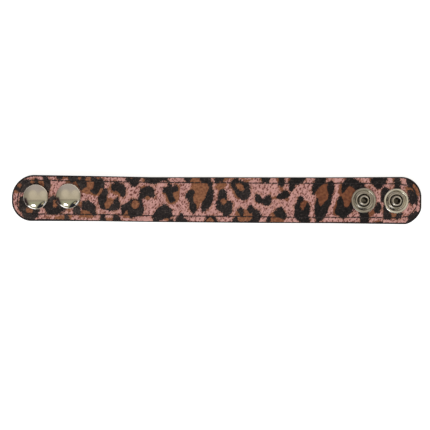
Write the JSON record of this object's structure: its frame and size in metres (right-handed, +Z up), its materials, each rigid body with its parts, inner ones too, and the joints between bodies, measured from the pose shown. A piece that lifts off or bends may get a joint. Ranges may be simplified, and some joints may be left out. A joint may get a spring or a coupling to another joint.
{
  "type": "leather cuff bracelet",
  "caption": "Flat leather cuff strap with a leopard print face, sewn to a black backing, closed by press snaps: domed caps with sockets at one end and studs at the other.",
  "frame": {"origin": "on the table, under the middle of the opened strap, which lies face up on its sockets, its own underside and its stud posts", "axes": "+X along the strap from the cap end to the stud end, +Y across it, +Z up out of the printed face"},
  "size_m": [0.2286, 0.0264, 0.0096],
  "materials": {
    "printed_leather": "smooth top-grain leather, semi-matt, printed with a black and brown leopard pattern on dusty pink, with a black dyed edge",
    "black_leather": "black leather with a fine grain and a satin surface",
    "nickel": "polished antique nickel plate over brass, warm grey, with fine scratches",
    "black_thread": "black waxed sewing thread, twisted"
  },
  "bodies": {
    "root": {"face_leather": "printed_leather", "backing_leather": "black_leather", "cap_outer": "nickel", "cap_inner": "nickel", "cap_post_outer": "nickel", "cap_post_inner": "nickel", "socket_outer": "nickel", "socket_inner": "nickel", "stud_outer": "nickel", "stud_inner": "nickel", "stud_post_outer": "nickel", "stud_post_inner": "nickel"}
  },
  "joints": []
}
